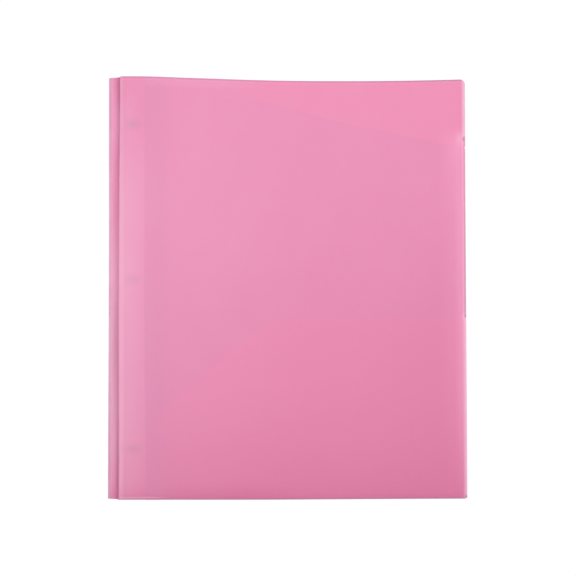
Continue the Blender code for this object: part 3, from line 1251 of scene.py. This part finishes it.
    def cover_marks(self) -> CoverMarks:
        """The marks of this side's cover, with the fasteners' shadows painted over the tangs in front and
        over the bases behind.

        Returns:
            The marks.
        """
        if self.side is Side.FRONT:
            return CoverMarks(self.plan, self.side)
        middles = [sum(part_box(f"{name}_fastener_base"), Vector()) / 2 for name in FASTENERS]
        return CoverMarks(
            self.plan,
            self.side,
            side_u=self.inset,
            low_rise=self.low_rise,
            spot_u=middles[0].x - self.plan.back_x,
            spot_vs=tuple(middle.y + self.plan.height / 2 for middle in middles),
        )

    def pocket_material(
        self, name: str, finish: SheetFinish, mouth: Callable[[Signal], Signal]
    ) -> bpy.types.Material:
        """A pocket's finish, with painted highlights along its cut mouth and side and its folded outer edge.

        Args:
            name: The pocket's name on either side.
            finish: The sheet's finish.
            mouth: The height v of the pocket's mouth at a distance from the crease.

        Returns:
            The material.
        """
        plan = self.plan

        def measure(graph: ShaderGraph) -> Measures:
            """The pocket's measures.

            Args:
                graph: The material's graph.

            Returns:
                The measures.
            """
            u, v = plan.along(graph, plan.crease_x(self.side))
            shares = {Share.HEM: self.hem_blur.of(v - plan.low_edge)}
            return Measures(u, v, edge=plan.width - u, top=mouth(u) - v, side=u - self.inset, shares=shares)

        return finish.build(f"{self.side.word} {name}", self.pocket_marks, measure)

    def build(self) -> None:
        """Models and dresses the cover and its two pockets."""
        body = Body.FRONT if self.side is Side.FRONT else Body.BACK
        plan, cover = self.plan, self.cover_marks()
        tall = self.pocket_material("tall pocket", self.tall_finish, plan.tall_top)
        low = self.pocket_material("low pocket", self.low_finish, lambda u: plan.low_top(u, cover.low_rise))
        painted = self.cover_finish.build(f"{self.side.word} cover", cover.marks, cover.measure)
        work = (
            (self.cover(), painted, Slot.COVER, "cover"),
            (self.tall_pocket(), tall, Slot.POCKET, "tall_pocket"),
            (self.low_pocket(), low, Slot.POCKET, "low_pocket"),
        )
        for piece, material, slot, node in work:
            Bench.finish(piece, material, slot, f"{self.side.word}_{node}")
            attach(piece, body.value)


# Spine and creases


@dataclass
class Spine:
    """The strip between the covers, with the scored webs where it bends."""

    plan: FolderPlan
    finish: SheetFinish
    start_slope: float = math.radians(9)
    end_slope: float = math.radians(86)
    start_pull: float = 0.0055
    end_pull: float = 0.0030
    front_bend: float = 0.0005
    web_sheet: float = 0.00042
    web_trim: float = 0.00015
    overlap: float = 0.0003
    path_steps: int = 24
    row_step: float = 0.0060
    rim: float = 0.00009
    handled: Fade = Fade(0.0, 0.11, 0.19, 0.28)
    wear_grain: float = 0.004
    wear_detail: float = 3.0
    wear_stretch: Point = (1.0, 0.35, 1.0)
    wear_range: Fade = Fade(0.25, 0.75)
    wear_least: float = 0.6
    strip_marks: tuple[Mark, ...] = (
        # Paler where hands work it, and worn white beside the back crease
        Mark(Tint.PALE, 0.10, 0.22, Share.MIDDLE),
        Mark(Tint.WORN, 0.27, v=Fade(0.0, 0.05, 0.13, 0.22)),
        Mark(Tint.WHITE, 0.42, held=(Share.WEAR,), u=Fade(0.0052, 0.0)),
        # In shade under the front crease
        Mark(Tint.SHADED, 0.60, held=(Share.ENDS,), u=Fade(0.0040, 0.0066)),
        Mark(Tint.SHADED, 0.20, 0.12, Fade(0.16, 0.11), (Share.MIDDLE, Share.MIDDLE), u=Fade(0.0008, 0.0050)),
        # Paler beside the upper two fasteners, and darker at the foot
        Mark(Tint.PALE, 0.28, v=Bell(0.262, 0.013)),
        Mark(Tint.PALE, 0.26, v=Bell(0.156, 0.018)),
        Mark(Tint.SHADED, 0.22, v=Fade(0.016, 0.0)),
        # The line of the back fold
        Mark(Tint.FOLDED, 0.65, -0.40, Share.MIDDLE, u=Line(0.0011, 0.0018)),
    )
    back_mark: Mark = Mark(
        Tint.WORN, 0.45, 0.45, Share.MIDDLE, (Share.WEAR,), u=Line(0.0, 0.0048), rise=Line(0.0, 0.0048)
    )
    front_mark: Mark = Mark(
        Tint.WHITE, 0.45, 0.45, Share.MIDDLE, (Share.WEAR,), u=Line(0.0, 0.0032), rise=Line(0.0, 0.0032)
    )

    @property
    def start_z(self) -> float:
        """Height of the spine's middle where it leaves the back crease."""
        return 2 * self.plan.back_axis_z - self.plan.cover_sheet / 2

    def strip_point(self, share: float) -> Vector:
        """A point of the spine's profile.

        Args:
            share: 0 at the back crease and 1 at the front crease.

        Returns:
            The point's x and z.
        """
        plan = self.plan
        start = Vector((plan.back_x + plan.setback, self.start_z))
        end = Vector((plan.front_x, plan.crease_z - plan.setback))
        leave = Vector((math.cos(self.start_slope), math.sin(self.start_slope))) * self.start_pull
        arrive = Vector((math.cos(self.end_slope), math.sin(self.end_slope))) * self.end_pull
        points = [start, start + leave, end - arrive, end]
        while len(points) > 1:
            points = [a.lerp(b, share) for a, b in zip(points, points[1:])]
        return points[0]

    def bend(self, corner: Vector, ahead: Vector, radius: float, turn: float, straight: float) -> Profile:
        """The profile of a web: a turn to the right between two short straights.

        Args:
            corner: Where the turn starts, as x and z.
            ahead: The way into the turn.
            radius: The turn's radius.
            turn: The angle that it turns by.
            straight: The length of each straight.

        Returns:
            The profile, which gives x and z from a share of its length.
        """
        right = Vector((ahead.y, -ahead.x))
        arc = turn * radius

        def profile(share: float) -> Vector:
            """A point of the profile.

            Args:
                share: 0 at its start and 1 at its end.

            Returns:
                The point's x and z.
            """
            run = share * (2 * straight + arc) - straight
            angle = min(max(run, 0.0), arc) / radius
            turned = radius * (math.sin(angle) * ahead + (1 - math.cos(angle)) * right)
            leaving = math.cos(angle) * ahead + math.sin(angle) * right
            return corner + min(run, 0.0) * ahead + turned + max(run - arc, 0.0) * leaving

        return profile

    def sweep(
        self,
        name: str,
        profile: Profile,
        sheet: float,
        shift: Callable[[float, float], float],
        trim: float = 0.0,
    ) -> bpy.types.Object:
        """A profile drawn along the whole height.

        Args:
            name: The piece's name.
            profile: Its x and z from a share of its length.
            sheet: The sheet's thickness.
            shift: How far it wanders along X, from a share of its length and a height v.
            trim: How far it stops short of the top and bottom edges.

        Returns:
            The piece.
        """
        half = self.plan.height / 2
        columns = Bench.stations(0.0, 1.0, 1 / self.path_steps)
        rows = Bench.stations(trim - half, half - trim, self.row_step)

        def point(share: float, y: float, rise: float) -> Vector:
            """A point of the swept surface."""
            x, z = profile(share)
            return Vector((x + shift(share, y + half), y, z + rise))

        return Bench.thicken(Bench.grid(name, columns, rows, point), sheet, self.rim)

    def material(self, name: str, marks: Sequence[Mark], origin: Point) -> bpy.types.Material:
        """The finish of the strip or of a web.

        Args:
            name: The material's name.
            marks: Its marks, the lowest first.
            origin: The point from which they are measured along X and Z.

        Returns:
            The material.
        """
        def measure(graph: ShaderGraph) -> Measures:
            """The measures from the origin.

            Args:
                graph: The material's graph.

            Returns:
                The measures.
            """
            u, v = self.plan.along(graph, origin[0])
            _, _, z = graph.axes(graph.place)
            middle = self.handled.of(v)
            uneven = self.wear_range.of(graph.noise(self.wear_grain, self.wear_detail, self.wear_stretch))
            wear = uneven * (1 - self.wear_least) + self.wear_least
            shares = {Share.MIDDLE: middle, Share.ENDS: 1 - middle, Share.WEAR: wear}
            return Measures(u, v, rise=z - origin[2], shares=shares)

        return self.finish.build(name, marks, measure)

    def build(self) -> None:
        """Models and dresses the strip and the two webs."""
        plan = self.plan
        straight = plan.setback + self.overlap
        strip = self.sweep(
            "spine_strip", self.strip_point, plan.cover_sheet, lambda share, v: share * plan.crease_shift(v)
        )
        fold = (plan.back_x, 0.0, plan.back_axis_z)
        Bench.finish(strip, self.material("spine", self.strip_marks, fold), Slot.COVER, "spine")
        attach(strip, Body.SPINE.value)

        radius = plan.back_axis_z - plan.cover_sheet / 2
        corner = Vector((plan.back_x, plan.cover_sheet / 2))
        bend = self.bend(corner, Vector((-1, 0)), radius, math.pi, straight)
        web = self.sweep(
            "back_crease_web", bend, self.web_sheet, lambda share, v: plan.back_shift(v), self.web_trim
        )
        Bench.finish(web, self.material("back crease", [self.back_mark], fold), Slot.COVER, "back_crease")
        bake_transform(web)

        radius = self.front_bend
        corner = Vector((plan.front_x, plan.crease_z - radius))
        bend = self.bend(corner, Vector((0, 1)), radius, math.pi / 2, straight - radius)
        web = self.sweep(
            "front_crease_web", bend, self.web_sheet, lambda share, v: plan.crease_shift(v), self.web_trim
        )
        fold = (plan.front_x + plan.setback, 0.0, plan.crease_z)
        Bench.finish(web, self.material("front crease", [self.front_mark], fold), Slot.COVER, "front_crease")
        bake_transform(web)


# Fasteners


@dataclass
class FastenerRow:
    """Three tang fasteners under a slotted strip that is welded to the back cover."""

    plan: FolderPlan
    strip_finish: SheetFinish
    steel_finish: SteelFinish
    steel_sheet: float = 0.00035
    tang_width: float = 0.0055
    tang_length: float = 0.030
    tang_root: float = 0.0001
    tang_crown: float = 0.00010
    crown_run: float = 0.004
    tang_cells: int = 8
    tang_step: float = 0.003
    tip_degrees: range = range(6, 84, 6)
    knuckle_reach: float = 0.0028
    arch_reaches: float = 4.0
    arch_step: float = 0.2
    base_bend: float = 0.0004
    base_step: float = 0.001
    bend_degrees: range = range(0, 91, 15)
    strip_sheet: float = 0.0005
    strip_step: float = 0.0040
    wall_run: float = 0.0005
    wall_mark: Mark = Mark(Tint.PALE, 0.35, u=Line(0.0, 0.0022))
    channel_clearance: float = 0.0006
    slot_clearance: float = 0.0004
    slot_round: float = 0.45
    slot_segments: int = 4
    rim: float = 0.00007
    strip_rim_angle: float = math.radians(30)

    @property
    def channel_half(self) -> float:
        """Half the width of the strip's raised channel."""
        return self.tang_width / 2 + self.channel_clearance + self.strip_sheet

    def bends(self) -> dict[str, Vector]:
        """The bend line of each tang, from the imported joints."""
        joints = [joint for joint in frame["joints"] if joint["name"].endswith("_tang_bend")]
        return {joint["child"]: Vector(joint["pos_m"]) for joint in joints}

    def tang(self, fastener: str, tang: Tang, bend: Vector) -> bpy.types.Object:
        """One folded tang: an arch over its bend line, a flat run and a round tip.

        Args:
            fastener: The fastener's name.
            tang: Which of its tangs.
            bend: The middle of its bend line.

        Returns:
            The tang.
        """
        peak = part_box(f"{fastener}_fastener_{tang.word}_tang")[1].z - self.steel_sheet / 2 - bend.z
        half = self.tang_width / 2
        shoulder = self.tang_length - half
        across = Bench.stations(-1.0, 1.0, 2 / self.tang_cells)
        reach = self.knuckle_reach
        arch = Bench.stations(self.tang_root, self.arch_reaches * reach, self.arch_step * reach)
        tip = [shoulder + half * math.sin(math.radians(angle)) for angle in self.tip_degrees]
        runs = arch + Bench.stations(arch[-1], shoulder, self.tang_step)[1:] + tip

        def point(share: float, run: float, lift: float) -> Vector:
            """A point of the tang's middle surface.

            Args:
                share: From -1 at one side of the tang to 1 at the other.
                run: Distance from the bend line.
                lift: How far the point is lifted.

            Returns:
                The point.
            """
            width = math.sqrt(half**2 - max(run - shoulder, 0.0) ** 2)
            knuckle = peak * run / reach * math.exp(1 - run / reach)
            crown = self.tang_crown * (1 - share**2) * min(run / self.crown_run, 1.0)
            return bend + Vector((share * width, tang.value * run, knuckle + crown + lift))

        piece = Bench.grid(f"{fastener}_{tang.word}_tang_blade", across, runs, point)
        return Bench.thicken(piece, self.steel_sheet, self.rim)

    def base(self, fastener: str, upper: Vector, lower: Vector) -> bpy.types.Object:
        """A fastener's base: a plate under the strip with a post up through each slot.

        Args:
            fastener: The fastener's name.
            upper: The upper tang's bend line.
            lower: The lower tang's bend line.

        Returns:
            The base.
        """
        low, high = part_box(f"{fastener}_fastener_base")
        plate_z = low.z + self.steel_sheet / 2
        radius = self.base_bend
        right = [
            (upper.y - radius + radius * math.sin(angle), plate_z + radius - radius * math.cos(angle))
            for angle in map(math.radians, self.bend_degrees)
        ]
        right.append((upper.y, high.z))
        path = [(upper.y + lower.y - y, z) for y, z in reversed(right)] + right
        across = Bench.stations(-self.tang_width / 2, self.tang_width / 2, self.base_step)

        def point(offset: float, index: int, lift: float) -> Vector:
            """A point of the base's middle surface."""
            y, z = path[index]
            return Vector((upper.x + offset, y, z + lift))

        piece = Bench.grid(f"{fastener}_base_strip", across, range(len(path)), point)
        return Bench.thicken(piece, self.steel_sheet, self.rim)

    def cut_slot(self, piece: bpy.types.Object, post: Vector, height: float) -> None:
        """Cuts a round-ended slot for a post through the strip's channel.

        Args:
            piece: The strip.
            post: Where the post passes through.
            height: The height of the channel's middle surface.
        """
        width = self.tang_width + 2 * self.slot_clearance
        depth = self.steel_sheet + 2 * self.slot_clearance
        size = (width, depth, 4 * self.strip_sheet)
        bpy.ops.object.select_all(action="DESELECT")
        bpy.ops.mesh.primitive_cube_add(size=1.0, location=(post.x, post.y, height), scale=size)
        cutter = bpy.context.object
        bpy.ops.object.transform_apply(location=True, rotation=False, scale=True)
        bpy.ops.object.mode_set(mode="EDIT")
        Bench.select(cutter, Element.EDGE, lambda middle: abs(middle.z - height) < Bench.NEAR)
        bpy.ops.mesh.bevel(affect="EDGES", offset=self.slot_round * depth, segments=self.slot_segments)
        bpy.ops.object.mode_set(mode="OBJECT")
        Bench.apply(piece, "slot", "BOOLEAN", operation="DIFFERENCE", object=cutter)
        bpy.data.objects.remove(cutter)

    def strip(self, posts: Sequence[Vector]) -> bpy.types.Object:
        """The welded strip: flanges on the back cover and a raised channel with a slot for each post.

        Args:
            posts: Where the posts pass through.

        Returns:
            The strip.
        """
        low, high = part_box("fastener_strip")
        middle = (low.x + high.x) / 2
        flange_z = low.z + self.strip_sheet / 2
        channel_z = high.z - self.strip_sheet / 2
        head = self.channel_half
        channel = [(x, channel_z) for x in (0.0, head / 2, head)]
        flange = [(x, flange_z) for x in (head + self.wall_run, (high.x - low.x) / 2)]
        right = channel + flange
        profile = [(-x, z) for x, z in reversed(right[1:])] + right
        rows = Bench.stations(low.y, high.y, self.strip_step)

        def point(index: int, y: float, lift: float) -> Vector:
            """A point of the strip's middle surface."""
            x, z = profile[index]
            return Vector((middle + x, y, z + lift))

        piece = Bench.grid("fastener_strip_sheet", range(len(profile)), rows, point)
        Bench.solidify(piece, self.strip_sheet)
        for post in posts:
            self.cut_slot(piece, post, channel_z)
        Bench.soften(piece, self.rim, self.strip_rim_angle)
        return piece

    def measure(self, graph: ShaderGraph) -> Measures:
        """The strip's measures, with u from the middle of the channel's nearer wall.

        Args:
            graph: The material's graph.

        Returns:
            The measures.
        """
        low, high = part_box("fastener_strip")
        x, v = self.plan.along(graph, (low.x + high.x) / 2)
        return Measures(abs(x) - (self.channel_half + self.wall_run / 2), v)

    def build(self) -> None:
        """Models and dresses the strip, the bases and the tangs."""
        steel = self.steel_finish.build()
        bends = self.bends()
        strip = self.strip(list(bends.values()))
        plastic = self.strip_finish.build("fastener strip", [self.wall_mark], self.measure)
        Bench.finish(strip, plastic, Slot.STRIP, "fastener_strip")
        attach(strip, Body.BACK.value)
        for fastener in FASTENERS:
            lines = {tang: bends[f"{fastener}_{tang.word}_tang"] for tang in Tang}
            base = self.base(fastener, lines[Tang.UPPER], lines[Tang.LOWER])
            Bench.finish(base, steel, Slot.STEEL, f"{fastener}_fastener_base")
            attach(base, Body.BACK.value)
            for tang, bend in lines.items():
                blade = self.tang(fastener, tang, bend)
                Bench.finish(blade, steel, Slot.STEEL, f"{fastener}_fastener_{tang.word}_tang")
                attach(blade, f"{fastener}_{tang.word}_tang")


# Studio


@dataclass
class Studio:
    """Camera, lights, floor and world."""

    target: Point = (0.00038, -0.00032, 0.0)
    distance: float = 0.800
    lens: float = 71.4
    sensor: float = 36.0
    clip_start: float = 0.01
    turn: Point = (math.radians(1.209), math.radians(-0.886), math.radians(-0.039))
    key_place: Point = (0.02, 0.32, 1.0)
    key_size: float = 0.80
    key_power: float = 6.5
    sky: float = 0.577
    floor_size: float = 4.0
    floor_drop: float = 0.0002
    floor_paint: tuple[float, ...] = (0.9, 0.9, 0.9, 1.0)
    floor_white: float = 0.96
    floor_glow: float = 1.03
    white: tuple[float, ...] = (1.0, 1.0, 1.0, 1.0)

    def camera(self) -> None:
        """Hangs the camera over the folder, a little towards the bottom edge and the spine."""
        lens = bpy.data.cameras.new("camera")
        lens.lens = self.lens
        lens.sensor_width = self.sensor
        lens.clip_start = self.clip_start
        camera = bpy.data.objects.new("camera", lens)
        camera.rotation_euler = self.turn
        back = camera.rotation_euler.to_matrix() @ Vector((0, 0, self.distance))
        camera.location = Vector(self.target) + back
        bpy.context.scene.collection.objects.link(camera)
        bpy.context.scene.camera = camera

    def lights(self) -> None:
        """One large soft light high over the top edge."""
        lamp = bpy.data.lights.new("softbox", "AREA")
        lamp.shape = "SQUARE"
        lamp.size = self.key_size
        lamp.energy = self.key_power
        light = bpy.data.objects.new("softbox", lamp)
        light.location = self.key_place
        light.rotation_euler = (-Vector(self.key_place)).to_track_quat("-Z", "Y").to_euler()
        bpy.context.scene.collection.objects.link(light)

    def seen(self, graph: ShaderGraph) -> Signal:
        """Which rays should see plain white: those of the camera, of gloss and of glass.

        Args:
            graph: The graph of the floor's material or of the world.

        Returns:
            1 for those rays and 0 for the others.
        """
        rays = graph.node("ShaderNodeLightPath").socket.node.outputs
        names = ("Is Camera Ray", "Is Glossy Ray", "Is Transmission Ray")
        camera, glossy, glass = (Signal(graph, rays[name]) for name in names)
        return at_least(at_least(camera, glossy), glass)

    def floor(self) -> None:
        """A white table top that keeps a faint shadow."""
        bpy.ops.object.select_all(action="DESELECT")
        bpy.ops.mesh.primitive_plane_add(size=self.floor_size, location=(0, 0, -self.floor_drop))
        floor = bpy.context.object
        floor.name = "table_top"
        bpy.ops.object.transform_apply(location=True)
        graph = ShaderGraph.material("white table")
        paint = graph.node("ShaderNodeBsdfDiffuse", {}, {"Color": self.floor_paint})
        glow = graph.node("ShaderNodeEmission", {}, {"Color": self.white, "Strength": self.floor_glow})
        share = self.seen(graph) * self.floor_white
        graph.surface(graph.node("ShaderNodeMixShader", {}, {0: share, 1: paint, 2: glow}))
        floor.data.materials.append(graph.owner)

    def world(self) -> None:
        """Even light from all sides, white to the camera."""
        world = bpy.data.worlds.new("studio")
        bpy.context.scene.world = world
        graph = ShaderGraph(world)
        strength = self.sky + self.seen(graph) * (1.0 - self.sky)
        graph.surface(graph.node("ShaderNodeBackground", {}, {"Color": self.white, "Strength": strength}))

    def build(self) -> None:
        """Sets the whole studio up."""
        self.camera()
        self.lights()
        self.floor()
        self.world()
        bpy.context.scene.view_settings.view_transform = "Standard"


def main() -> None:
    """Builds the folder and its studio."""
    logging.basicConfig(level=logging.INFO, format="%(name)s: %(message)s")
    plan = FolderPlan.measured()
    cover_finish = SheetFinish()
    tall_finish = SheetFinish(deep=(0.700, 0.188, 0.366), clear=(0.712, 0.196, 0.376))
    low_finish = SheetFinish(deep=(0.668, 0.166, 0.328), clear=(0.680, 0.174, 0.338))
    strip_finish = SheetFinish(roughness=0.36, grain_depth=0.000006)
    for side in Side:
        Panel(plan, side, cover_finish, tall_finish, low_finish).build()
    Spine(plan, cover_finish).build()
    FastenerRow(plan, strip_finish, SteelFinish()).build()
    Studio().build()


if __name__ == "__main__":
    main()
